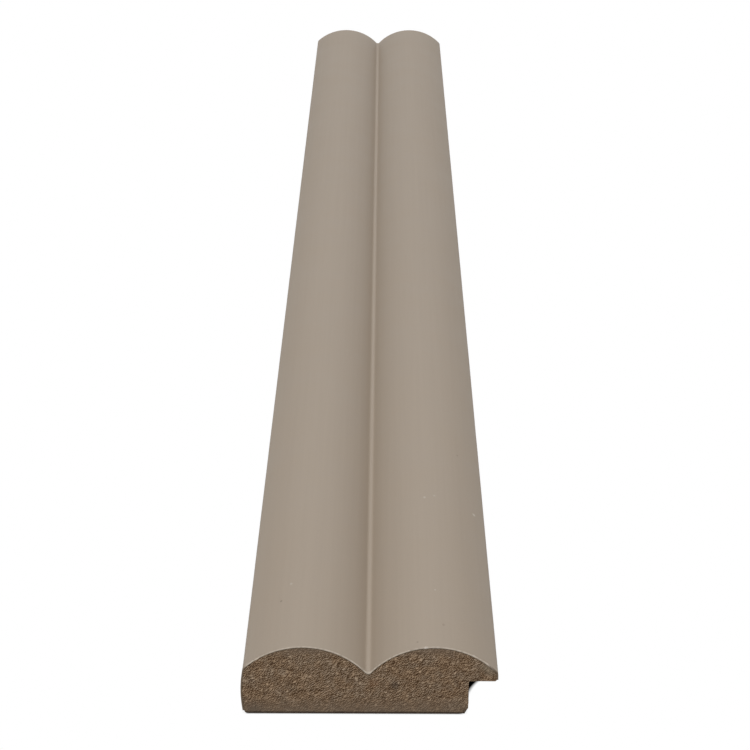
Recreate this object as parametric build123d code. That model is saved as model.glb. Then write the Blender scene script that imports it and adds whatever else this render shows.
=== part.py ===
"""A length of fluted end trim, the moulding that closes the last edge of reeded wall panelling.

It is an MDF moulding with two reeds on its face, wrapped in a thin finish foil. One edge is the
free edge, which the foil goes round. The other is a lip over a rebate, which takes the tongue of
the panel beside it. The trim lies on its flat back: X is its width, Y its length and Z its
thickness, in millimetres, and the origin is the middle of the back's outer size.
"""

import os
from math import sqrt

from build123d import *

# Overall sizes, over the foil
LENGTH = 500.0
THICKNESS = 12.0  # back to the crest of a reed

# The reeded face, over the foil
REED_PITCH = 21.5  # crest to crest
REED_RADIUS = 14.2
GROOVE_RADIUS = 0.8  # root of the groove between the reeds
ARRIS_RADIUS = 1.0  # where the face turns down to the free edge and to the lip's tip

# The free edge
FREE_EDGE_REACH = 10.0  # from the first crest out to the edge
FREE_EDGE_BOW = 0.25  # how far the middle of the edge stands out past its ends
BACK_ARRIS_RADIUS = 0.5

# The lip and its rebate
LIP_REACH = 10.5  # from the second crest out to the tip
LIP_THICKNESS = 1.5  # at the tip, before its corners are rounded
LIP_CORNER_RADIUS = 0.3
REBATE_WIDTH = 4.8  # from the wall of the rebate out to the tip
REBATE_ROOT_RADIUS = 0.2
WALL_FOOT_CHAMFER_WIDTH = 0.6  # along the back
WALL_FOOT_CHAMFER_HEIGHT = 1.0  # up the wall of the rebate

# The foil
FOIL_THICKNESS = 0.25
FOIL_CLEAR_OF_BACK = 0.5  # the foil stops this far above the back, on the free edge

# Places across the width, from the middle
WIDTH = FREE_EDGE_REACH + REED_PITCH + LIP_REACH
FREE_EDGE_X = -WIDTH / 2
FIRST_CREST_X = FREE_EDGE_X + FREE_EDGE_REACH
SECOND_CREST_X = FIRST_CREST_X + REED_PITCH
GROOVE_X = (FIRST_CREST_X + SECOND_CREST_X) / 2
TIP_X = WIDTH / 2
REBATE_WALL_X = TIP_X - REBATE_WIDTH

# Heights above the back
REED_CENTRE_Z = THICKNESS - REED_RADIUS


def reed_height(reach: float) -> float:
    """Height of the face at a distance from the crest of a reed."""
    return REED_CENTRE_Z + sqrt(REED_RADIUS**2 - reach**2)


GROOVE_Z = reed_height(REED_PITCH / 2)
FREE_EDGE_TOP_Z = reed_height(FREE_EDGE_REACH)
TIP_TOP_Z = reed_height(LIP_REACH)
LIP_UNDERSIDE_Z = TIP_TOP_Z - LIP_THICKNESS


def box_between(x_low: float, z_low: float, x_high: float, z_high: float) -> Sketch:
    """A rectangle given by two opposite corners."""
    middle = Pos((x_low + x_high) / 2, (z_low + z_high) / 2)
    return middle * Rectangle(x_high - x_low, z_high - z_low)


def bow_disc(inset: float) -> Sketch:
    """A large disc whose left side is the slightly bowed free edge."""
    half_height = FREE_EDGE_TOP_Z / 2
    radius = (half_height**2 + FREE_EDGE_BOW**2) / (2 * FREE_EDGE_BOW)
    return Pos(FREE_EDGE_X + radius, half_height) * Circle(radius - inset)


def rounded(section: Sketch, x: float, z: float, radius: float) -> Sketch:
    """The section with the corner nearest to a point rounded."""
    corner = section.vertices().sort_by_distance((x, z, 0))[0]
    return fillet(corner, radius)


def trim_section(inset: float) -> Sketch:
    """The cross-section, with its wrapped faces set in by the inset and parallel to the finished face.

    The inset is nought for the finished size and the foil's thickness for the bare moulding. The
    back and the rebate aren't wrapped, so they stay where they are.
    """
    free_edge_x = FREE_EDGE_X + inset
    tip_x = TIP_X - inset

    # Two reeds, cut square at the back and at the tip
    reeds = Sketch() + [
        Pos(crest_x, REED_CENTRE_Z) * Circle(REED_RADIUS - inset)
        for crest_x in (FIRST_CREST_X, SECOND_CREST_X)
    ]
    core = box_between(FREE_EDGE_X, 0, REBATE_WALL_X, GROOVE_Z - GROOVE_RADIUS)
    section = (reeds + core) & box_between(FREE_EDGE_X, 0, tip_x, THICKNESS)
    section &= bow_disc(inset)
    section -= box_between(REBATE_WALL_X, 0, TIP_X, LIP_UNDERSIDE_Z)

    # The wrapped corners keep the centres of their rounding at either inset
    section = rounded(section, GROOVE_X, GROOVE_Z, GROOVE_RADIUS + inset)
    section = rounded(section, free_edge_x, FREE_EDGE_TOP_Z, ARRIS_RADIUS - inset)
    section = rounded(section, tip_x, TIP_TOP_Z, ARRIS_RADIUS - inset)

    # The machined corners
    section = rounded(section, tip_x, LIP_UNDERSIDE_Z, LIP_CORNER_RADIUS)
    section = rounded(section, REBATE_WALL_X, LIP_UNDERSIDE_Z, REBATE_ROOT_RADIUS)
    section = rounded(section, free_edge_x, 0, BACK_ARRIS_RADIUS)
    back = section.edges().sort_by(Axis.Y)[0]
    wall_foot = section.vertices().sort_by_distance((REBATE_WALL_X, 0, 0))[0]
    return chamfer(wall_foot, WALL_FOOT_CHAMFER_WIDTH, WALL_FOOT_CHAMFER_HEIGHT, reference=back)


def foil_section() -> Sketch:
    """The foil: the skin between the finished size and the moulding, where the wrap reaches."""
    skin = trim_section(0) - trim_section(FOIL_THICKNESS)
    tip_stop_z = LIP_UNDERSIDE_Z + LIP_CORNER_RADIUS
    up_to_second_crest = box_between(FREE_EDGE_X, FOIL_CLEAR_OF_BACK, SECOND_CREST_X, THICKNESS)
    past_second_crest = box_between(SECOND_CREST_X, tip_stop_z, TIP_X, THICKNESS)
    return skin & (up_to_second_crest + past_second_crest)


def full_length(section: Sketch) -> Part:
    """The section run along the whole trim, half to each side of the origin."""
    return extrude(Plane.XZ * section, amount=LENGTH / 2, both=True)


os.makedirs("parts", exist_ok=True)
export_step(full_length(trim_section(FOIL_THICKNESS)), "parts/mdf_moulding.step")
export_step(full_length(foil_section()), "parts/finish_foil.step")
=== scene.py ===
"""The looks of a length of fluted end trim: raw MDF with two reeds on its face, wrapped in a satin foil.

Both pieces are built from the section of the CAD part, as dense meshes with their real relief. The
section is worked out in millimetres, across the width (x) and up from the back (z), and the meshes
are in metres. The near end is the one towards -Y. The camera has the fitted place and lens of the
reference view.
"""

from math import asin, atan2, ceil, cos, pi, radians, sin, sqrt

import bpy
import numpy as np
from mathutils import Matrix, Vector, geometry, noise


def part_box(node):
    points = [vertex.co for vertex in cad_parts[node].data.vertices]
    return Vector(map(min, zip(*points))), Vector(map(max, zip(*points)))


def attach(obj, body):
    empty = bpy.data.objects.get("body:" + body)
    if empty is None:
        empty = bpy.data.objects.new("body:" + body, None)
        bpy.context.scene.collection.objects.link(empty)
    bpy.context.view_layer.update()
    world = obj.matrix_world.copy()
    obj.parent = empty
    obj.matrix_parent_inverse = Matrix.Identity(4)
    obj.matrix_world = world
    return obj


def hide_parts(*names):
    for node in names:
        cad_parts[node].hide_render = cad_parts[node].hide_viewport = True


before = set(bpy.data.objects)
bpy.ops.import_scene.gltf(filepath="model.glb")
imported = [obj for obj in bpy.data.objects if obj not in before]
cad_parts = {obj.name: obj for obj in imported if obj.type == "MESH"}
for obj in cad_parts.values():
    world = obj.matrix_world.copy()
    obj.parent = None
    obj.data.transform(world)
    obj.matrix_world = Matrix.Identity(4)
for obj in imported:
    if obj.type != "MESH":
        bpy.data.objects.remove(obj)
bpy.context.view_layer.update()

MM = 0.001

# Sizes read from the frame, in mm
FOIL_LOW, FOIL_HIGH = (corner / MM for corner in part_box("finish_foil"))
CORE_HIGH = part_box("mdf_moulding")[1] / MM
TIP_X = FOIL_HIGH.x
FREE_EDGE_X = -TIP_X  # the origin is in the middle of the width
NEAR_Y = FOIL_LOW.y
FAR_Y = FOIL_HIGH.y
FOIL_THICKNESS = FOIL_HIGH.x - CORE_HIGH.x
FOIL_FOOT_Z = FOIL_LOW.z

# The section's driving dimensions, in mm, over the foil
THICKNESS = 12.0
REED_PITCH = 21.5
REED_RADIUS = 14.2
GROOVE_RADIUS = 0.8
BARE_GROOVE_RADIUS = 0.6  # the groove's root under the foil, which glue fills up to the face's
ARRIS_RADIUS = 1.0
FREE_EDGE_REACH = 10.0
FREE_EDGE_BOW = 0.25
BACK_ARRIS_RADIUS = 0.5
LIP_THICKNESS = 1.5
LIP_CORNER_RADIUS = 0.3
REBATE_WIDTH = 4.8
REBATE_ROOT_RADIUS = 0.2
WALL_FOOT_CHAMFER = (0.6, 1.0)

FIRST_CREST_X = FREE_EDGE_X + FREE_EDGE_REACH
SECOND_CREST_X = FIRST_CREST_X + REED_PITCH
GROOVE_X = (FIRST_CREST_X + SECOND_CREST_X) / 2
REBATE_WALL_X = TIP_X - REBATE_WIDTH
REED_CENTRE_Z = THICKNESS - REED_RADIUS

# How finely the meshes are made, in mm
OUTLINE_STEP = 0.34
ROUNDING_STEP = radians(12)  # the most that a rounding turns from one point to the next
END_CELL = 0.13  # from point to point over a sawn end
END_JITTER = 0.22  # how far those points are moved at random, as a share of END_CELL
END_CLEARANCE = 0.6  # how far they keep from the outline, as a share of END_CELL
END_FIRST_STEP = 0.1
STEP_GROWTH = 1.35
FOIL_LONG_STEP = 2.6
CORE_LONG_STEP = 5.0
MERGE_DISTANCE = 1e-7
SHARP_ANGLE = radians(62)  # faces that meet at more than this are shaded with a sharp edge

# Randomness
SEED = 7
NOISE_INCREMENT = 0.6
NOISE_LACUNARITY = 2.1


def clamped(value):
    """A value kept between 0 and 1."""
    return min(1.0, max(0.0, value))


def smooth_noise(x, y, z, octaves=3):
    """Fractal noise from about -1 to 1 at a point."""
    return noise.fractal(Vector((x, y, z)), NOISE_INCREMENT, NOISE_LACUNARITY, octaves)


# The section


def reed_height(reach):
    """Height of the face at a distance from the crest of a reed."""
    return REED_CENTRE_Z + sqrt(REED_RADIUS**2 - reach**2)


FREE_EDGE_TOP_Z = reed_height(FREE_EDGE_REACH)
LIP_UNDERSIDE_Z = reed_height(TIP_X - SECOND_CREST_X) - LIP_THICKNESS
BOW_HALF_HEIGHT = FREE_EDGE_TOP_Z / 2
BOW_RADIUS = (BOW_HALF_HEIGHT**2 + FREE_EDGE_BOW**2) / (2 * FREE_EDGE_BOW)
BOW_CENTRE = (FREE_EDGE_X + BOW_RADIUS, BOW_HALF_HEIGHT)


def direction(start, end):
    """The angle at which one point lies from another."""
    return atan2(end[1] - start[1], end[0] - start[0])


def arc(centre, radius, start, end, bulge=1):
    """Points on an arc with their outward normals, which point to its centre where it is hollow."""
    turn = abs(end - start)
    steps = max(ceil(turn / ROUNDING_STEP), ceil(turn * radius / OUTLINE_STEP))
    angles = np.linspace(start, end, steps + 1)
    radial = np.stack([np.cos(angles), np.sin(angles)], 1)
    return np.asarray(centre) + radius * radial, radial * bulge


def line(start, end, normal):
    """Points on a straight stretch with their outward normal."""
    start, end = np.asarray(start, float), np.asarray(end, float)
    steps = max(1, ceil(np.linalg.norm(end - start) / OUTLINE_STEP))
    share = np.linspace(0, 1, steps + 1)[:, None]
    return start + share * (end - start), np.tile(np.asarray(normal, float), (steps + 1, 1))


def joined(stretches):
    """One run of points and normals from stretches that follow each other."""
    points = [stretches[0][0]] + [p[1:] for p, _ in stretches[1:]]
    normals = [stretches[0][1]] + [n[1:] for _, n in stretches[1:]]
    return np.concatenate(points), np.concatenate(normals)


def circles_meet(first, first_reach, second, second_reach):
    """The upper of the two points at given distances from two centres."""
    first, second = np.asarray(first, float), np.asarray(second, float)
    gap = np.linalg.norm(second - first)
    along = (gap**2 + first_reach**2 - second_reach**2) / (2 * gap)
    across = sqrt(first_reach**2 - along**2)
    axis = (second - first) / gap
    side = np.array([-axis[1], axis[0]])
    found = [first + axis * along + side * across, first + axis * along - side * across]
    return max(found, key=lambda p: p[1])


def wrapped_face(foot_angle):
    """The finished face from the free edge's foot, over both reeds, to the foot of the lip's tip."""
    first_reed = (FIRST_CREST_X, REED_CENTRE_Z)
    second_reed = (SECOND_CREST_X, REED_CENTRE_Z)
    inner_reed = REED_RADIUS - ARRIS_RADIUS
    edge_arris = circles_meet(BOW_CENTRE, BOW_RADIUS - ARRIS_RADIUS, first_reed, inner_reed)
    groove_rise = sqrt((REED_RADIUS + GROOVE_RADIUS) ** 2 - (REED_PITCH / 2) ** 2)
    groove = (GROOVE_X, REED_CENTRE_Z + groove_rise)
    tip_arris_x = TIP_X - ARRIS_RADIUS
    tip_arris_rise = sqrt(inner_reed**2 - (tip_arris_x - SECOND_CREST_X) ** 2)
    tip_arris = (tip_arris_x, REED_CENTRE_Z + tip_arris_rise)

    edge_top = direction(BOW_CENTRE, edge_arris) % (2 * pi)
    arris_end = direction(first_reed, edge_arris)
    groove_left = direction(first_reed, groove)
    groove_right = direction(second_reed, groove)
    tip_start = direction(second_reed, tip_arris)
    return joined([
        arc(BOW_CENTRE, BOW_RADIUS, foot_angle, edge_top),
        arc(edge_arris, ARRIS_RADIUS, edge_top, arris_end),
        arc(first_reed, REED_RADIUS, arris_end, groove_left),
        arc(groove, GROOVE_RADIUS, groove_left - pi, groove_right - pi, -1),
        arc(second_reed, REED_RADIUS, groove_right, tip_start),
        arc(tip_arris, ARRIS_RADIUS, tip_start, 0),
        line((TIP_X, tip_arris[1]), (TIP_X, LIP_UNDERSIDE_Z + LIP_CORNER_RADIUS), (1, 0)),
    ])


def raw_faces(back_arris):
    """The unwrapped stretch, from the foot of the lip's tip through the rebate and over the back."""
    tip_x = TIP_X - FOIL_THICKNESS
    corner = (tip_x - LIP_CORNER_RADIUS, LIP_UNDERSIDE_Z + LIP_CORNER_RADIUS)
    root = (REBATE_WALL_X + REBATE_ROOT_RADIUS, LIP_UNDERSIDE_Z - REBATE_ROOT_RADIUS)
    foot_x = REBATE_WALL_X - WALL_FOOT_CHAMFER[0]
    foot_z = WALL_FOOT_CHAMFER[1]
    foot_normal = np.array([foot_z, -WALL_FOOT_CHAMFER[0]]) / np.hypot(*WALL_FOOT_CHAMFER)
    return joined([
        arc(corner, LIP_CORNER_RADIUS, 0, -pi / 2),
        line((corner[0], LIP_UNDERSIDE_Z), (root[0], LIP_UNDERSIDE_Z), (0, -1)),
        arc(root, REBATE_ROOT_RADIUS, pi / 2, pi, -1),
        line((REBATE_WALL_X, root[1]), (REBATE_WALL_X, foot_z), (1, 0)),
        line((REBATE_WALL_X, foot_z), (foot_x, 0), foot_normal),
        line((foot_x, 0), (back_arris[0], 0), (0, -1)),
        arc(back_arris, BACK_ARRIS_RADIUS, -pi / 2, direction(BOW_CENTRE, back_arris)),
    ])


def bare_face(face, normals):
    """The surface under the foil: parallel to the face, but for a sharper root of the groove."""
    bare = face - FOIL_THICKNESS * normals
    reed = REED_RADIUS - FOIL_THICKNESS
    half_pitch = REED_PITCH / 2
    root_z = REED_CENTRE_Z + sqrt((reed + BARE_GROOVE_RADIUS) ** 2 - half_pitch**2)
    root_reach = half_pitch * BARE_GROOVE_RADIUS / (reed + BARE_GROOVE_RADIUS)
    filled_reach = half_pitch * (GROOVE_RADIUS + FOIL_THICKNESS) / (REED_RADIUS + GROOVE_RADIUS)
    for i, reach in enumerate(np.abs(bare[:, 0] - GROOVE_X)):
        if reach < root_reach:
            bare[i, 1] = root_z - sqrt(BARE_GROOVE_RADIUS**2 - reach**2)
        elif reach < filled_reach:
            bare[i, 1] = REED_CENTRE_Z + sqrt(reed**2 - (half_pitch - reach) ** 2)
    return bare


def foil_outline():
    """Points of the foil's outer side, their normals, and the points of its inner side."""
    foot_angle = pi + asin((BOW_HALF_HEIGHT - FOIL_FOOT_Z) / BOW_RADIUS)
    face, normals = wrapped_face(foot_angle)
    return face, normals, bare_face(face, normals)


def core_outline():
    """The closed outline of the MDF, its normals, and how many of its points lie under the foil."""
    reach = BOW_RADIUS - FOIL_THICKNESS - BACK_ARRIS_RADIUS
    drop = BOW_HALF_HEIGHT - BACK_ARRIS_RADIUS
    back_arris = (BOW_CENTRE[0] - sqrt(reach**2 - drop**2), BACK_ARRIS_RADIUS)
    face, face_normals = wrapped_face(direction(BOW_CENTRE, back_arris) % (2 * pi))
    face = bare_face(face, face_normals)
    raw, raw_normals = raw_faces(back_arris)
    points = np.concatenate([face, raw[1:-1]])
    return points, np.concatenate([face_normals, raw_normals[1:-1]]), len(face)


# Meshes


def stations(long_step):
    """Places along the length, close together at both ends."""
    half = (FAR_Y - NEAR_Y) / 2
    offsets, step = [0.0], END_FIRST_STEP
    while step < long_step:
        offsets.append(offsets[-1] + step)
        step *= STEP_GROWTH
    rest = half - offsets[-1]
    count = ceil(rest / long_step)
    offsets += [offsets[-1] + rest * (i + 1) / count for i in range(count)]
    near = NEAR_Y + np.array(offsets)
    return np.concatenate([near, -near[-2::-1]])


def distance_from_end(y):
    """How far a place along the length is from the nearer end."""
    return min(y - NEAR_Y, FAR_Y - y)


def inward_at(y):
    """The way in from the nearer end, along the length."""
    return 1 if y < 0 else -1


FLARE = 0.14  # how far the free edge swells out at its sawn near end, in mm
FLARE_REACH = 6.0  # and how far back from the end that fades
FLARE_FACING = 0.6  # how far a face has to turn to the free edge's side to swell, where 1 is all the way


def flare_at(nx, z, y):
    """How far out a face stands, in mm, where the free edge swells at the near end."""
    facing = max(0.0, -nx - FLARE_FACING) / (1 - FLARE_FACING)
    fade = max(0.0, 1 - (y - NEAR_Y) / FLARE_REACH) ** 2
    return FLARE * facing * fade * sin(pi * min(1.0, z / (FREE_EDGE_TOP_Z + ARRIS_RADIUS)))


def make_piece(name, vertices, faces, attributes, material):
    """A mesh object from points in mm, with its attributes and material, that rides on the trim."""
    mesh = bpy.data.meshes.new(name)
    mesh.from_pydata((np.asarray(vertices) * MM).tolist(), [], faces)
    mesh.validate()
    for attribute, values in attributes.items():
        layer = mesh.attributes.new(attribute, "FLOAT", "POINT")
        layer.data.foreach_set("value", np.asarray(values, np.float32))
    mesh.shade_smooth()
    mesh.set_sharp_from_angle(angle=SHARP_ANGLE)
    mesh.materials.append(material)
    piece = bpy.data.objects.new(name, mesh)
    bpy.context.scene.collection.objects.link(piece)
    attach(piece, "root")
    return piece


def band(first, second, closed=False):
    """Quads between two rows of vertices of the same length.

    On the outer side they face outward if the first row is the nearer one and both run from the free
    edge to the lip.
    """
    count = len(first)
    last = count if closed else count - 1
    return [(first[i], first[(i + 1) % count], second[(i + 1) % count], second[i]) for i in range(last)]


# The foil

FOIL_WAVE = 0.012  # how far the foil lies off its true surface, in mm
WAVE_ACROSS, WAVE_ALONG = 9.0, 24.0  # the size of those waves, in mm
WAVE_REACH = 4.0  # how far from an end they have their full height, in mm
FOIL_CUT_RAGGED = 0.05  # how far back the foil's cut is where it is most ragged, in mm
RAGGED_COUNT = 1.7  # notches in a mm
RAGGED_SHIFT = 0.3  # how much the notches differ from the outer to the inner side
CUT_REACH = 0.12  # how far from an end the cut's own colour fades out, in mm

# Chips at the near cut, across the width: place, half width and how far they stand up, in mm
CHIPS = (
    (-18.4, 0.45, -0.16),
    (9.15, 0.3, 0.3),
    (10.3, 0.14, 0.14),
    (10.9, 0.2, 0.17),
    (16.9, 0.2, 0.13),
    (19.2, 0.3, 0.08),
    (20.0, 0.25, 0.07),
)
CHIP_REACH = 0.25  # how far back from the cut the chips begin, in mm
TORN_RISE = 0.26  # how far a chip stands up where it is torn pale all through, in mm

# How clean the foil's cut is across the width, from 0 where the saw has smeared it to 1 where it is pale
USUAL_CLEAN = 0.85
LEAST_CLEAN = 0.5  # on the reeds
CLEAN_CHANGE = 0.6
CLEAN_COUNT = 2.9  # changes in a mm
CLEAN_SPOT = (2.0, 5.0)  # where in the noise they lie
SMEARED_MARGIN = 0.3  # the width at both edges that is smeared all over, in mm
SMEARED_LIP = 0.8  # how much wider that is at the lip
SMEARED_FADE = 0.6  # the width over which it turns clean from there


def chip_at(x):
    """How far a chip stands up at a place across the near cut, in mm, down if negative."""
    return sum(rise * max(0.0, 1 - abs(x - place) / half) for place, half, rise in CHIPS)


def cleanness(x):
    """1 where the foil's cut is clean and pale, less where it is smeared, and 0 at both edges."""
    change = CLEAN_CHANGE * smooth_noise(x * CLEAN_COUNT, *CLEAN_SPOT)
    clean = min(1.0, max(LEAST_CLEAN, USUAL_CLEAN + change))
    from_edge = min(x - FREE_EDGE_X, TIP_X - x - SMEARED_LIP) - SMEARED_MARGIN
    return clean * clamped(from_edge / SMEARED_FADE)


def ragged_cut(x, y, z, side):
    """How far back the foil's cut is at a point of its outer (0) or inner (1) side, in mm."""
    notches = smooth_noise(x * RAGGED_COUNT, y, z * RAGGED_COUNT + side * RAGGED_SHIFT)
    return FOIL_CUT_RAGGED * (0.5 + 0.5 * notches)


def foil_points(places):
    """The foil's vertices, its outer side first, and at each what its material reads."""
    outline, normals, inner = foil_outline()
    vertices = []
    # Each is 1 at a cut end, on the inner side, where the cut is pale and on a torn chip
    marks = {"cut": [], "under": [], "clean": [], "torn": []}
    for side, points in enumerate((outline, inner)):
        for y in places:
            from_end = distance_from_end(y)
            near_cut = max(0.0, 1 - (y - NEAR_Y) / CHIP_REACH)
            wave = FOIL_WAVE * min(1.0, from_end / WAVE_REACH)
            for (x, z), (nx, nz) in zip(points, normals):
                off = flare_at(nx, z, y)
                if side == 0:
                    off += wave * smooth_noise(x / WAVE_ACROSS, y / WAVE_ALONG, z / WAVE_ACROSS)
                    off += near_cut**2 * chip_at(x)
                ragged = ragged_cut(x, y, z, side) if from_end == 0 else 0.0
                vertices.append((x + nx * off, y + inward_at(y) * ragged, z + nz * off))
                marks["cut"].append(max(0.0, 1 - from_end / CUT_REACH))
                marks["under"].append(float(side))
                marks["clean"].append(cleanness(x))
                marks["torn"].append(min(1.0, near_cut * max(0.0, chip_at(x)) / TORN_RISE))
    return vertices, marks


def foil_faces(outer, inner):
    """The foil's quads, from the numbers of its vertices by their row along the length."""
    faces = []
    for j in range(len(outer) - 1):
        faces += band(outer[j], outer[j + 1])
        faces += band(inner[j + 1], inner[j])
    faces += band([row[0] for row in outer], [row[0] for row in inner])
    faces += band([row[-1] for row in inner], [row[-1] for row in outer])
    faces += band(inner[0], outer[0])
    faces += band(outer[-1], inner[-1])
    return faces


def foil_mesh(material):
    """The foil: outer and inner side, closed along its edges and at its cut ends."""
    places = stations(FOIL_LONG_STEP)
    vertices, marks = foil_points(places)
    outer, inner = np.arange(len(vertices)).reshape(2, len(places), -1).tolist()
    piece = make_piece("foil_wrap", vertices, foil_faces(outer, inner), marks, material)
    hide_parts("finish_foil")


# The MDF

SAW_SLANT = radians(34)  # how the fibres torn by the saw lean on the near end
FIBRE_DEPTH = 0.06  # mm, as are the depths and widths below
PIT_DEPTH = 0.16
FUZZ_DEPTH = 0.03  # how far single fibres stand up or sink
DENSE_SKIN = 2.0  # depth of the harder layer at the board's two faces
DENSE_START = 0.3  # where it begins to loosen, as a share of its depth
DENSE_RELIEF = 0.4  # the relief there, as a share of the core's
ARRIS_WEAR = 0.12  # radius of the worn sawn arris
CORNER_WEAR = 0.1  # how far the near corner at the foot of the rebate's wall is knocked back
CORNER_REACH = 1.7  # how far from that corner this fades
CORNER_Z = 0.4  # the corner's height
SCORE_DEPTH = 0.012  # lengthwise tool marks on the machined faces
SCORE_COUNT = 2.3  # in a mm
SCORE_SPOT = 4.4  # where in the noise they lie
CRUMBLE = 0.4  # how much the wear changes along an arris, as a share of it
CRUMBLE_COUNT = 1.9  # changes in a mm

# The noises of a sawn end's relief: coarse fibres, fine fibres and pits. Each has its counts in a mm
# along and across the fibres, its octaves, and where in the noise it lies
RELIEF_NOISES = ((0.9, 2.4, 3, 0.0), (2.4, 6.0, 1, 9.1), (2.0, 3.3, 2, 20.3))
FAR_END_SHIFT = 31.7  # how far off in the noise the far end lies
COARSE_SHARE, FINE_SHARE = 0.2, 0.4  # of FIBRE_DEPTH
PIT_START = 0.5  # the noise above which a pit opens

# The rim of a sawn end
RIM_RECESS = 0.05  # how far the MDF stands back from the foil's cut
RIM_UNEVEN = 0.025  # how much that changes along the rim
END_SINK = 0.02  # how much further back the MDF stands inside the rim
RIM_WIDTH = 0.5  # how far in from the rim the relief is at its full depth
RIM_RELIEF = 0.4  # the relief at the rim, as a share of that
GLUE_WIDTH = 0.1  # the dark line of glue under the foil
# Painted shade along the foot of a sawn end
FOOT_SHADE_TOP = 2 * ARRIS_WEAR  # how high the painted shade along the back, at the end's foot, is at its darkest
FOOT_SHADE_WIDTH = 0.16  # the height over which it fades above that
FOOT_SHADE_UNEVEN = 0.1  # how much that changes along the back
FOOT_SHADE_WAVE = 4.0  # the size of those changes
FOOT_SHADE_SPOT = (1.7, 6.2)  # where in the noise its change lies


def rounding_drop(from_end):
    """How far a sawn arris has worn back at a distance from the end."""
    reach = min(1.0, from_end / ARRIS_WEAR)
    return ARRIS_WEAR * (1 - sqrt(1 - (1 - reach) ** 2))


def looseness(z):
    """1 in the open core of the board, falling to DENSE_RELIEF in the dense layers at its faces."""
    depth = min(z, THICKNESS - z)
    share = clamped((depth - DENSE_START * DENSE_SKIN) / DENSE_SKIN)
    return DENSE_RELIEF + (1 - DENSE_RELIEF) * share


def end_relief(x, z, end):
    """Relief of the near (0) or far (1) sawn end, in mm, where positive is towards the inside."""
    slant = -SAW_SLANT if end else SAW_SLANT
    along = x * cos(slant) + z * sin(slant)
    across = z * cos(slant) - x * sin(slant)
    coarse, fine, holes = (
        smooth_noise(along * count_along, across * count_across, FAR_END_SHIFT * end + spot, octaves)
        for count_along, count_across, octaves, spot in RELIEF_NOISES
    )
    fibres = FIBRE_DEPTH * (COARSE_SHARE * coarse + FINE_SHARE * fine)
    return looseness(z) * (fibres + PIT_DEPTH * max(0.0, holes - PIT_START))


def inside(points, outline):
    """Which points lie inside a closed outline."""
    hit = np.zeros(len(points), bool)
    for a, b in zip(outline, np.roll(outline, -1, axis=0)):
        rise = b[1] - a[1]
        if rise == 0:
            continue
        crosses = (a[1] > points[:, 1]) != (b[1] > points[:, 1])
        at = a[0] + (points[:, 1] - a[1]) / rise * (b[0] - a[0])
        hit ^= crosses & (points[:, 0] < at)
    return hit


def distance_to(points, path):
    """Each point's distance to the nearest stretch of a path."""
    nearest = np.full(len(points), np.inf)
    for a, b in zip(path[:-1], path[1:]):
        run = b - a
        share = np.clip((points - a) @ run / (run @ run), 0, 1)
        nearest = np.minimum(nearest, np.linalg.norm(points - a - share[:, None] * run, axis=1))
    return nearest


def closed_path(outline):
    """The outline with its first point again at its end."""
    return np.concatenate([outline, outline[:1]])


def end_cells(outline, random):
    """Triangles over a sawn end, on the outline's points and a jittered field of points inside it."""
    low, high = outline.min(0), outline.max(0)
    row_gap = END_CELL * sqrt(3) / 2
    rows = int((high[1] - low[1]) / row_gap) + 1
    columns = int((high[0] - low[0]) / END_CELL) + 1
    grid = np.array([
        (low[0] + (i + 0.5 * (j % 2)) * END_CELL, low[1] + j * row_gap)
        for j in range(rows) for i in range(columns)
    ])
    grid += random.uniform(-END_JITTER, END_JITTER, grid.shape) * END_CELL
    grid = grid[inside(grid, outline)]
    grid = grid[distance_to(grid, closed_path(outline)) > END_CLEARANCE * END_CELL]
    points = [Vector(p) for p in np.concatenate([outline, grid])]
    border = [list(range(len(outline)))]
    found, _, faces, *_ = geometry.delaunay_2d_cdt(points, [], border, 1, MERGE_DISTANCE)
    return np.array([tuple(p) for p in found]), faces


def core_station(outline, normals, wrapped, y):
    """The MDF's outline at a place along the length, with its tool marks and worn arrises."""
    drop = rounding_drop(distance_from_end(y))
    near = max(0.0, 1 - (y - NEAR_Y) / CORNER_REACH)
    offsets = []
    for i, ((x, z), (nx, nz)) in enumerate(zip(outline, normals)):
        off = flare_at(nx, z, y)
        if i >= wrapped:
            crumble = 1.0 + CRUMBLE * smooth_noise(x * CRUMBLE_COUNT, y, z * CRUMBLE_COUNT)
            from_corner = sqrt((x - REBATE_WALL_X) ** 2 + (z - CORNER_Z) ** 2)
            corner = max(0.0, 1 - from_corner / CORNER_REACH)
            off += SCORE_DEPTH * smooth_noise(x * SCORE_COUNT, z * SCORE_COUNT, SCORE_SPOT)
            off -= crumble * (drop + CORNER_WEAR * near * corner)
        offsets.append(off)
    return outline + normals * np.array(offsets)[:, None]


def core_rows(places, sections, wrapped):
    """Vertices of the MDF's long faces, and at each the rim's dark of glue under the foil and painted
    shade at the foot.
    """
    vertices, glue_and_foot_shade = [], []
    for y, section in zip(places, sections):
        at_end = distance_from_end(y) == 0
        for i, (x, z) in enumerate(section):
            push = 0.0
            if at_end:
                uneven = smooth_noise(x * CRUMBLE_COUNT, y, z * CRUMBLE_COUNT)
                push = RIM_RECESS + RIM_UNEVEN * (1 + uneven)
            vertices.append((x, y + inward_at(y) * push, z))
            glue_and_foot_shade.append(1.0 if at_end and (z < FOOT_SHADE_TOP or i < wrapped) else 0.0)
    return vertices, glue_and_foot_shade


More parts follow.
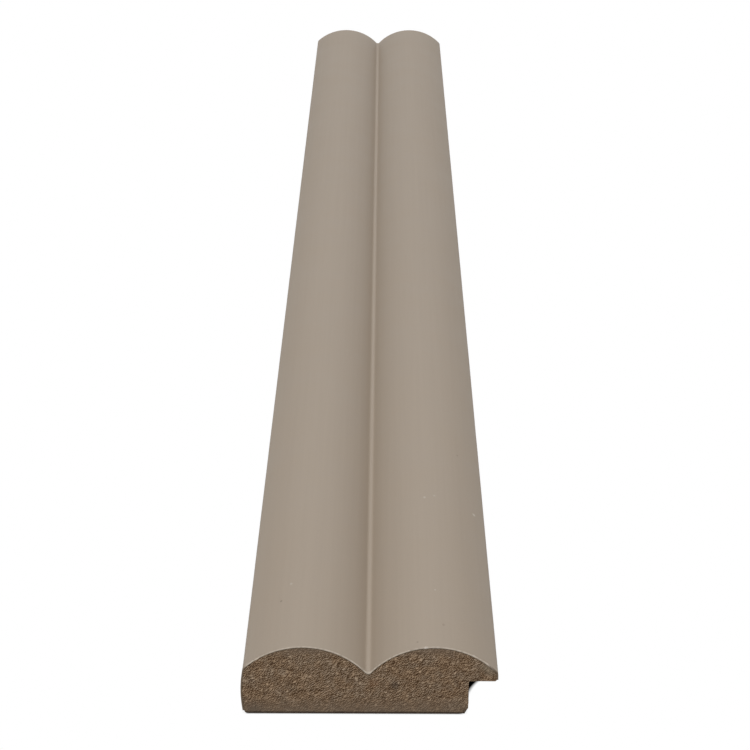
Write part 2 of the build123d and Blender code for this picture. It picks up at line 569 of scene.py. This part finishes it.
def core_field(points, y, section, wrapped, random):
    """Vertices inside the rim of a sawn end, with each one's relief and its dark of glue and painted
    foot shade.
    """
    end = 0 if y < 0 else 1
    from_foil = distance_to(points, section[:wrapped])
    from_edge = distance_to(points, closed_path(section))
    vertices, relief, glue_and_foot_shade = [], [], []
    for (x, z), foil_gap, edge_gap in zip(points, from_foil, from_edge):
        depth = end_relief(x, z, end) + looseness(z) * FUZZ_DEPTH * random.uniform(-1, 1)
        share = RIM_RELIEF + (1 - RIM_RELIEF) * min(1.0, edge_gap / RIM_WIDTH)
        vertices.append((x, y + inward_at(y) * (RIM_RECESS + END_SINK + depth * share), z))
        relief.append(depth / (FIBRE_DEPTH + PIT_DEPTH))
        # Painted shade along the foot of the end, and the dark glue line under the foil
        foot_shade_width = FOOT_SHADE_WIDTH + FOOT_SHADE_UNEVEN * smooth_noise(x / FOOT_SHADE_WAVE, *FOOT_SHADE_SPOT)
        foot_shade = max(z - FOOT_SHADE_TOP, 0.0) / foot_shade_width
        glue_and_foot_shade.append(max(0.0, 1 - min(foil_gap / GLUE_WIDTH, foot_shade)))
    return vertices, relief, glue_and_foot_shade


def core_mesh(material):
    """The MDF: its long faces, and at both ends a dense field of fibres and pits."""
    random = np.random.default_rng(SEED)
    outline, normals, wrapped = core_outline()
    places = stations(CORE_LONG_STEP)
    sections = [core_station(outline, normals, wrapped, y) for y in places]
    vertices, glue_and_foot_shade = core_rows(places, sections, wrapped)
    relief = [0.0] * len(vertices)
    rows = np.arange(len(vertices)).reshape(len(places), -1).tolist()
    faces = []
    for first, second in zip(rows[:-1], rows[1:]):
        faces += band(first, second, closed=True)

    for end in (0, -1):
        points, cells = end_cells(sections[end], random)
        inner = points[len(outline):]
        field, depths, dark = core_field(inner, places[end], sections[end], wrapped, random)
        number = rows[end] + list(range(len(vertices), len(vertices) + len(field)))
        vertices += field
        relief += depths
        glue_and_foot_shade += dark
        for cell in cells:
            face = tuple(number[i] for i in cell)
            faces.append(face[::-1] if end else face)
    piece = make_piece("mdf_core", vertices, faces, {"relief": relief, "glue_and_foot_shade": glue_and_foot_shade}, material)
    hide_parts("mdf_moulding")


# Materials


def srgb(red, green, blue):
    """A linear colour from 0-255 display values."""
    def linear(value):
        value /= 255
        return value / 12.92 if value <= 0.04045 else ((value + 0.055) / 1.055) ** 2.4
    return (linear(red), linear(green), linear(blue), 1.0)


WHITE = (1, 1, 1, 1)


class Nodes:
    """A short way to write the nodes of one material or world."""

    def __init__(self, owner):
        owner.use_nodes = True
        self.tree = owner.node_tree
        self.tree.nodes.clear()

    def add(self, kind, output=0, settings=None, **inputs):
        """A new node's output.

        Each input goes by its name, with _ for a space, or by its place, as i0, i1 and so on. It is
        a value or another node's output.
        """
        node = self.tree.nodes.new(kind)
        for key, value in (settings or {}).items():
            setattr(node, key, value)
        for key, value in inputs.items():
            name = key.replace("_", " ")
            socket = node.inputs[int(name[1:]) if name[1:].isdigit() else name]
            if isinstance(value, bpy.types.NodeSocket):
                self.tree.links.new(value, socket)
            else:
                socket.default_value = value
        return node.outputs[output]

    def math(self, operation, first, second=0.0, third=0.0, clamp=False):
        """An operation on up to three numbers."""
        settings = {"operation": operation, "use_clamp": clamp}
        return self.add("ShaderNodeMath", 0, settings, i0=first, i1=second, i2=third)

    def vector(self, operation, first, second=(0.0, 0.0, 0.0)):
        """An operation on one or two vectors that gives a vector."""
        return self.add("ShaderNodeVectorMath", 0, {"operation": operation}, i0=first, i1=second)

    def measure(self, operation, first, second=(0.0, 0.0, 0.0)):
        """An operation on one or two vectors that gives a number."""
        return self.add("ShaderNodeVectorMath", 1, {"operation": operation}, i0=first, i1=second)

    def scaled(self, value, scale):
        """A vector or a plain colour, times a number."""
        return self.add("ShaderNodeVectorMath", 0, {"operation": "SCALE"}, i0=value, Scale=scale)

    def split(self, places):
        """The x, y and z of places."""
        return tuple(self.add("ShaderNodeSeparateXYZ", 0, None, Vector=places).node.outputs)

    def mix(self, share, first, second, blend="MIX"):
        """Two colours mixed by a share."""
        settings = {"data_type": "RGBA", "blend_type": blend}
        return self.add("ShaderNodeMix", 2, settings, i0=share, i6=first, i7=second)

    def span(self, value, low, high, to_low=0.0, to_high=1.0):
        """A value taken from one range to another, and kept inside that."""
        names = ("From Min", "From Max", "To Min", "To Max")
        node = self.tree.nodes.new("ShaderNodeMapRange")
        self.tree.links.new(value, node.inputs["Value"])
        for name, number in zip(names, (low, high, to_low, to_high)):
            node.inputs[name].default_value = number
        return node.outputs[0]

    def noise(self, places, scale, detail=2.0, roughness=0.5):
        """Noise from 0 to 1, about a half for the most part."""
        return self.add("ShaderNodeTexNoise", 0, None, Vector=places, Scale=scale, Detail=detail,
                        Roughness=roughness)

    def stretched(self, places, scale, turn=(0.0, 0.0, 0.0)):
        """Places turned and then scaled along each axis."""
        turned = self.add("ShaderNodeMapping", 0, {"vector_type": "POINT"}, Vector=places, Rotation=turn)
        return self.vector("MULTIPLY", turned, scale)

    def millimetres(self):
        """The object's own coordinates in mm."""
        return self.scaled(self.add("ShaderNodeTexCoord", 3), 1 / MM)

    def attribute(self, name):
        """What a mesh says at each point, under a name."""
        return self.add("ShaderNodeAttribute", 2, {"attribute_name": name})

    def bump(self, height, strength):
        """Normals for a height in mm."""
        return self.add("ShaderNodeBump", 0, None, Height=height, Distance=MM, Strength=strength)

    def finish(self, kind, shader):
        """The last node, which takes the shader."""
        out = self.tree.nodes.new(kind)
        self.tree.links.new(shader, out.inputs["Surface"])


FOIL_COLOUR = srgb(158, 144, 128)
FOIL_CUT_COLOUR = srgb(206, 193, 177)
FOIL_SMEARED_COLOUR = srgb(112, 96, 80)
FOIL_TORN_COLOUR = srgb(232, 222, 211)
FOIL_GLUE_COLOUR = srgb(96, 86, 70)
# Its noises: count in a mm, detail and roughness
FOIL_CLOUD = (0.09, 3.0)
FOIL_STREAK = (1.0, 3.0, 0.6)
FOIL_STREAK_COUNTS = (1.3, 0.012, 1.3)
FOIL_GRAIN = (4.5, 2.0, 0.6)
FOIL_PEEL = (0.8, 2.0)
# How much each of them changes the brightness
CLOUD_TONE, STREAK_TONE, GRAIN_TONE = 0.08, 0.07, 0.10
PEEL_HEIGHT, GRAIN_HEIGHT = 0.006, 0.0035  # mm
FOIL_SHINE = (0.3, 0.7, 0.47, 0.53)  # from the cloud to the roughness
FOIL_SPECULAR = 0.12
FOIL_GLUE_SPAN = (0.55, 0.9)  # through the foil's thickness, from its outer (0) to its inner (1) side

FOIL_LIGHT_SPECK = srgb(236, 230, 220)
FOIL_DARK_SPECK = srgb(92, 80, 66)
# Specks on the foil: x, distance from the near end and radius in mm, share of their colour, and colour
SPECKS = (
    (18.99, 64.3, 0.34, 0.28, FOIL_LIGHT_SPECK),
    (-13.65, 26.1, 0.3, 0.13, FOIL_LIGHT_SPECK),
    (9.81, 66.1, 0.32, 0.15, FOIL_LIGHT_SPECK),
    (11.64, 67.0, 0.3, 0.1, FOIL_LIGHT_SPECK),
    (11.04, 23.2, 0.2, 0.15, FOIL_LIGHT_SPECK),
    (12.18, 9.0, 0.3, 0.25, FOIL_DARK_SPECK),
    (-15.15, 19.6, 0.26, 0.45, FOIL_DARK_SPECK),
    (7.8, 2.5, 0.18, 0.5, FOIL_DARK_SPECK),
    (16.58, 91.6, 0.2, 0.4, FOIL_DARK_SPECK),
)
SPECK_SHAPE = (1, 0.5, 0)  # twice as long as wide, at any height
SPECK_CORE = 0.4  # how much of its radius has a speck's full colour


def with_specks(n, places, colour):
    """The foil's colour with its specks."""
    for x, from_end, radius, share, shade in SPECKS:
        gap = n.vector("SUBTRACT", places, (x, NEAR_Y + from_end, 0))
        reach = n.measure("LENGTH", n.vector("MULTIPLY", gap, SPECK_SHAPE))
        colour = n.mix(n.span(reach, SPECK_CORE * radius, radius, share, 0.0), colour, shade)
    return colour


def with_cut(n, colour):
    """The foil's colour with its cut, which is pale or smeared over glue, and its torn chips."""
    edge = n.mix(n.attribute("clean"), FOIL_SMEARED_COLOUR, FOIL_CUT_COLOUR)
    edge = n.mix(n.span(n.attribute("under"), *FOIL_GLUE_SPAN), edge, FOIL_GLUE_COLOUR)
    colour = n.mix(n.attribute("cut"), colour, edge)
    return n.mix(n.attribute("torn"), colour, FOIL_TORN_COLOUR)


def foil_material():
    """Satin taupe foil, with the faint grain and drawing lines of its film."""
    material = bpy.data.materials.new("foil")
    n = Nodes(material)
    places = n.millimetres()
    cloud = n.noise(places, *FOIL_CLOUD)
    streak = n.noise(n.stretched(places, FOIL_STREAK_COUNTS), *FOIL_STREAK)
    grain = n.noise(places, *FOIL_GRAIN)
    bright = 1.0
    for source, tone in ((cloud, CLOUD_TONE), (streak, STREAK_TONE), (grain, GRAIN_TONE)):
        bright = n.math("ADD", bright, n.math("MULTIPLY_ADD", source, tone, -tone / 2))
    colour = with_cut(n, with_specks(n, places, n.scaled(FOIL_COLOUR[:3], bright)))
    peel = n.math("MULTIPLY", n.noise(places, *FOIL_PEEL), PEEL_HEIGHT)
    bump = n.bump(n.math("ADD", peel, n.math("MULTIPLY", grain, GRAIN_HEIGHT)), 1.0)
    shine = n.span(cloud, *FOIL_SHINE)
    shader = n.add("ShaderNodeBsdfPrincipled", 0, None, Base_Color=colour, Roughness=shine, Normal=bump)
    shader.node.inputs["Specular IOR Level"].default_value = FOIL_SPECULAR
    n.finish("ShaderNodeOutputMaterial", shader)
    return material


MDF_MID = srgb(101, 82, 61)
MDF_DARK = srgb(46, 25, 2)
MDF_PALE = srgb(174, 156, 136)
MDF_DENSE = srgb(110, 95, 80)
# The dark of the glue line under the foil, also the painted shade along the foot of a sawn end
MDF_GLUE_AND_FOOT_SHADE = srgb(46, 37, 29)
MDF_WARM = srgb(255, 236, 212)
MDF_ROUGHNESS = 0.88
MDF_SPECULAR = 0.2
# Stains on the near end, and in the last two painted shade at its bottom corners: x, height and radius
# in mm, share of their colour, and colour
STAINS_AND_CORNER_SHADE = (
    (4.1, 5.0, 1.0, 0.5, srgb(56, 48, 42)),
    (0.7, 5.5, 1.1, 0.1, srgb(140, 84, 50)),
    (19.5, 8.3, 1.7, 0.4, srgb(126, 118, 102)),
    (15.7, 0.3, 0.9, 0.6, srgb(54, 44, 36)),
    (-18.9, 0.3, 1.9, 0.4, srgb(76, 68, 60)),
)
STAIN_AND_SHADE_CORE = 0.3  # how much of its radius has a stain's or corner shade's full colour
# Fibres in a mm: along them, along the trim and across them
FELT_COUNTS = (3.1, 2.0, 6.6)
STROKE_COUNTS = (1.5, 2.0, 6.6)
DRIFT_COUNTS = (0.7, 0.7, 1.2)
FELT_DETAIL = 1.0
DRIFT_DETAIL = 2.0
FELT_SHIFT = 0.105  # how far apart a fibre's painted lit and shaded sides lie, in mm
DRIFT = 0.25  # how much the slow change of shade moves the fibres towards pale or dark
RELIEF_SHADE = -0.1  # how much sunk places move the felt towards pale, so below 0 towards dark, as painted shade in pits
STROKE_HEIGHT = 0.07  # mm
STROKE_BUMP = 0.8
# From and to what value a noise makes the board dark, pale or warm or its glue line dark, and the share
# of that colour at both. The felt's dark and pale are its fibres' painted shade and light
FELT_SHADED = (0.0, -0.08, 0.0, 0.8)
FELT_LIT = (0.01, 0.12, 0.0, 0.75)
STROKE_DARK = (0.35, 0.29, 0.0, 0.8)
STROKE_PALE = (0.66, 0.72, 0.0, 1.0)
WARM_COUNT = 0.55
WARM_SPAN = (0.38, 0.62, 0.24, 0.66)
GLUE_COUNT = 1.1
GLUE_SPAN = (0.35, 0.65, 0.15, 0.75)
# From and to what height in mm the board takes another colour, and the share of it at both
LOW_SKIN = (0.35 * DENSE_SKIN, 1.6 * DENSE_SKIN, 0.6, 0.0)
HIGH_SKIN = (THICKNESS - DENSE_SKIN, THICKNESS - 0.5, 0.0, 0.6)
# The last lays painted shade along the foot of a sawn end
FOOT_SHADE_SPAN = (0.45, 0.65, 1.0, 0.0)


def slanting_noise(n, places, counts, detail=0.0):
    """Noise drawn out along the fibres torn by the saw."""
    return n.noise(n.stretched(places, counts, (0.0, SAW_SLANT, 0.0)), 1.0, detail)


def fibre_light_and_shade(n, places):
    """Noise less the same noise moved across the fibres, which paints each fibre a lit and a shaded
    side.
    """
    shift = (-FELT_SHIFT * sin(SAW_SLANT), 0.0, FELT_SHIFT * cos(SAW_SLANT))
    moved = slanting_noise(n, n.vector("ADD", places, shift), FELT_COUNTS, FELT_DETAIL)
    return n.math("SUBTRACT", moved, slanting_noise(n, places, FELT_COUNTS, FELT_DETAIL))


def with_stains_and_corner_shade(n, places, colour):
    """The board's colour with its stains and the painted shade at its bottom corners."""
    for x, z, radius, share, shade in STAINS_AND_CORNER_SHADE:
        gap = n.measure("DISTANCE", places, (x, NEAR_Y, z))
        colour = n.mix(n.span(gap, STAIN_AND_SHADE_CORE * radius, radius, share, 0.0), colour, shade)
    return colour


def mdf_material():
    """Raw fibreboard: a felt of fibres with painted light and shade, and slanting torn strokes, finer
    and greyer at its faces.
    """
    material = bpy.data.materials.new("mdf")
    n = Nodes(material)
    places = n.millimetres()
    drift = slanting_noise(n, places, DRIFT_COUNTS, DRIFT_DETAIL)
    slow = n.math("MULTIPLY_ADD", drift, DRIFT, -DRIFT / 2)
    sunk = n.math("MULTIPLY_ADD", n.attribute("relief"), RELIEF_SHADE, slow)
    # The felt: painted light and shade on each fibre and painted shade in sunk places, over a slow
    # change of tone
    shaded_felt = n.math("ADD", fibre_light_and_shade(n, places), sunk)
    strokes = n.math("ADD", slanting_noise(n, places, STROKE_COUNTS), slow)
    dark = n.math("MAXIMUM", n.span(shaded_felt, *FELT_SHADED), n.span(strokes, *STROKE_DARK))
    pale = n.math("MAXIMUM", n.span(shaded_felt, *FELT_LIT), n.span(strokes, *STROKE_PALE))
    colour = n.mix(pale, n.mix(dark, MDF_MID, MDF_DARK), MDF_PALE)
    warm = n.span(n.noise(places, WARM_COUNT), *WARM_SPAN)
    colour = n.mix(warm, colour, n.mix(1.0, colour, MDF_WARM, "MULTIPLY"))

    height = n.split(places)[2]
    skin = n.math("ADD", n.span(height, *LOW_SKIN), n.span(height, *HIGH_SKIN))
    colour = with_stains_and_corner_shade(n, places, n.mix(skin, colour, MDF_DENSE))
    # The rim darkens with the glue line under the foil, and with painted shade along the foot
    glue_and_shade_strength = n.span(n.noise(places, GLUE_COUNT), *GLUE_SPAN)
    glue_and_shade_strength = n.math("MAXIMUM", glue_and_shade_strength, n.span(height, *FOOT_SHADE_SPAN))
    colour = n.mix(n.math("MULTIPLY", n.attribute("glue_and_foot_shade"), glue_and_shade_strength), colour, MDF_GLUE_AND_FOOT_SHADE)

    bump = n.bump(n.math("MULTIPLY", strokes, STROKE_HEIGHT), STROKE_BUMP)
    shader = n.add("ShaderNodeBsdfPrincipled", 0, None, Base_Color=colour, Normal=bump)
    shader.node.inputs["Roughness"].default_value = MDF_ROUGHNESS
    shader.node.inputs["Specular IOR Level"].default_value = MDF_SPECULAR
    n.finish("ShaderNodeOutputMaterial", shader)
    return material


# The studio

FLOOR_SIZE = 16.0  # m
FLOOR_DROP = 0.00002  # how far below the trim it lies, in m
FLOOR_GREY = (0.5, 0.5, 0.5, 1)  # what it is to rays that gather light
SHADED_MARGIN = 1  # how far round the trim its shade is drawn, in mm
CONTACT_REACH = 0.0006  # m
CONTACT_SAMPLES = 16
CONTACT_SHADE = (0.4, 0.8)  # the share of open sky close by at which the floor is black, and white
# Where the contact shade gives way, across the width in mm, and how bright the floor is from there
WALL_FADE = (REBATE_WALL_X - 1.6, REBATE_WALL_X - 0.8)
EDGE_FADE = (FREE_EDGE_X + 1.2, FREE_EDGE_X + 0.6)
OPEN_BRIGHTNESS = 0.92  # at the least
# The painted shadow under the lip, a dark strip beside the wall, in mm: how far in from the end it
# starts, the reach and power by which it widens from there, the most that it does, and where its edge
# turns light and dark
STRIP_START = 5.5
STRIP_REACH = 5.0
STRIP_POWER = 2.0
STRIP_MOST = 3.6
STRIP_EDGE = (0.4, -0.3)
STRIP_DARK_FROM = 0.4  # the width at which it is fully dark
WORLD_LIGHT = 0.2
LAMP_SIZE = 1.0  # m
# Each lamp's name, power in W and place in m, all aimed at the trim
LAMPS = (
    ("key_softbox", 12.4, (-0.1, -0.95, 0.95)),
    ("back_softbox", 6.1, (0.0, 0.9, 1.0)),
)


def seen_directly(n):
    """1 for a ray from the camera, a reflection or something clear, and 0 for one that gathers light."""
    path = n.tree.nodes.new("ShaderNodeLightPath")
    seen = n.math("ADD", path.outputs["Is Camera Ray"], path.outputs["Is Glossy Ray"])
    return n.math("ADD", seen, path.outputs["Is Transmission Ray"], clamp=True)


def make_world():
    """Even grey light from all round, and white where it is seen."""
    world = bpy.data.worlds.new("studio")
    bpy.context.scene.world = world
    n = Nodes(world)
    light = n.add("ShaderNodeBackground", 0, None, Color=WHITE, Strength=WORLD_LIGHT)
    white = n.add("ShaderNodeBackground", 0, None, Color=WHITE, Strength=1.0)
    both = n.add("ShaderNodeMixShader", 0, None, i0=seen_directly(n), i1=light, i2=white)
    n.finish("ShaderNodeOutputWorld", both)


def lip_shade(n, x, from_middle):
    """1 on the painted shadow under the lip, a dark strip of floor, by the place across and along the
    trim.
    """
    inside_end = n.math("MAXIMUM", n.math("SUBTRACT", FAR_Y - STRIP_START, from_middle), 0.0)
    widening = n.math("POWER", n.math("DIVIDE", inside_end, STRIP_REACH), STRIP_POWER)
    strip = n.math("MINIMUM", widening, STRIP_MOST)
    from_strip = n.math("SUBTRACT", n.math("SUBTRACT", x, REBATE_WALL_X), strip)
    dark = n.math("MULTIPLY", n.span(from_strip, *STRIP_EDGE), n.span(strip, 0.0, STRIP_DARK_FROM))
    return n.math("MULTIPLY", dark, n.math("GREATER_THAN", x, 0.0))


def contact_light(n, x):
    """How bright the floor is close to the trim's foot: 0 in contact and 1 in the open."""
    settings = {"samples": CONTACT_SAMPLES}
    open_sky = n.add("ShaderNodeAmbientOcclusion", 1, settings, Distance=CONTACT_REACH)
    past_wall = n.span(x, *WALL_FADE, 0.0, OPEN_BRIGHTNESS)
    past_edge = n.span(x, *EDGE_FADE, 0.0, OPEN_BRIGHTNESS)
    return n.math("MAXIMUM", n.span(open_sky, *CONTACT_SHADE), n.math("MAXIMUM", past_wall, past_edge))


def floor_material():
    """Grey to rays that gather light, and white where it is seen, with the trim's shade drawn on it.

    The lamps cast no shadow on the white, so the dark strip under the lip and the shade at the
    trim's foot are worked out here.
    """
    material = bpy.data.materials.new("floor")
    n = Nodes(material)
    lit = n.add("ShaderNodeBsdfDiffuse", 0, None, Color=FLOOR_GREY)
    white = n.add("ShaderNodeEmission", 0, None, Color=WHITE)
    x, y, _ = n.split(n.millimetres())
    from_middle = n.math("ABSOLUTE", y)
    light = n.math("SUBTRACT", 1.0, lip_shade(n, x, from_middle))
    light = n.math("MULTIPLY", light, contact_light(n, x))
    shaded = n.add("ShaderNodeEmission", 0, None, Color=WHITE, Strength=light)
    across = n.math("LESS_THAN", n.math("ABSOLUTE", x), TIP_X + SHADED_MARGIN)
    along = n.math("LESS_THAN", from_middle, FAR_Y + SHADED_MARGIN)
    near_trim = n.math("MULTIPLY", across, along)
    seen = n.add("ShaderNodeMixShader", 0, None, i0=near_trim, i1=white, i2=shaded)
    shader = n.add("ShaderNodeMixShader", 0, None, i0=seen_directly(n), i1=lit, i2=seen)
    n.finish("ShaderNodeOutputMaterial", shader)
    material.cycles.emission_sampling = "NONE"
    return material


def make_floor():
    """A plain pale floor. The trim's shade on it is drawn in its material."""
    half = FLOOR_SIZE / 2
    corners = [(-half, -half, 0), (half, -half, 0), (half, half, 0), (-half, half, 0)]
    mesh = bpy.data.meshes.new("floor")
    mesh.from_pydata(corners, [], [(0, 1, 2, 3)])
    mesh.materials.append(floor_material())
    floor = bpy.data.objects.new("floor", mesh)
    bpy.context.scene.collection.objects.link(floor)
    floor.location.z = -FLOOR_DROP


def make_lamps():
    """A large soft lamp above the camera, and a weaker one behind that gives the reeds their sheen."""
    for name, power, place in LAMPS:
        lamp = bpy.data.lights.new(name, "AREA")
        lamp.size = LAMP_SIZE
        lamp.energy = power
        made = bpy.data.objects.new(name, lamp)
        bpy.context.scene.collection.objects.link(made)
        made.location = place
        made.rotation_euler = (-Vector(place)).to_track_quat("-Z", "Y").to_euler()


CAMERA_PLACE = (2.1115, -639.277, 192.411)  # mm
CAMERA_PITCH = radians(18.9525)  # down
CAMERA_YAW = radians(-0.1981)
CAMERA_ROLL = radians(0.1147)
CAMERA_LENS = 126.02  # mm
CAMERA_SENSOR = 36.0  # mm
CAMERA_CLIP = 0.01  # m


def make_camera():
    """The camera of the reference view, fitted to the outlines of both ends."""
    camera = bpy.data.cameras.new("camera")
    camera.lens = CAMERA_LENS
    camera.sensor_width = CAMERA_SENSOR
    camera.clip_start = CAMERA_CLIP
    made = bpy.data.objects.new("camera", camera)
    bpy.context.scene.collection.objects.link(made)
    turn = (Matrix.Rotation(-CAMERA_YAW, 4, "Z") @ Matrix.Rotation(pi / 2 - CAMERA_PITCH, 4, "X")
            @ Matrix.Rotation(CAMERA_ROLL, 4, "Z"))
    made.matrix_world = Matrix.Translation(Vector(CAMERA_PLACE) * MM) @ turn
    bpy.context.scene.camera = made


def main():
    """The trim, its floor and light, and the camera."""
    bpy.context.scene.view_settings.view_transform = "Standard"
    foil_mesh(foil_material())
    core_mesh(mdf_material())
    make_world()
    make_floor()
    make_lamps()
    make_camera()


main()
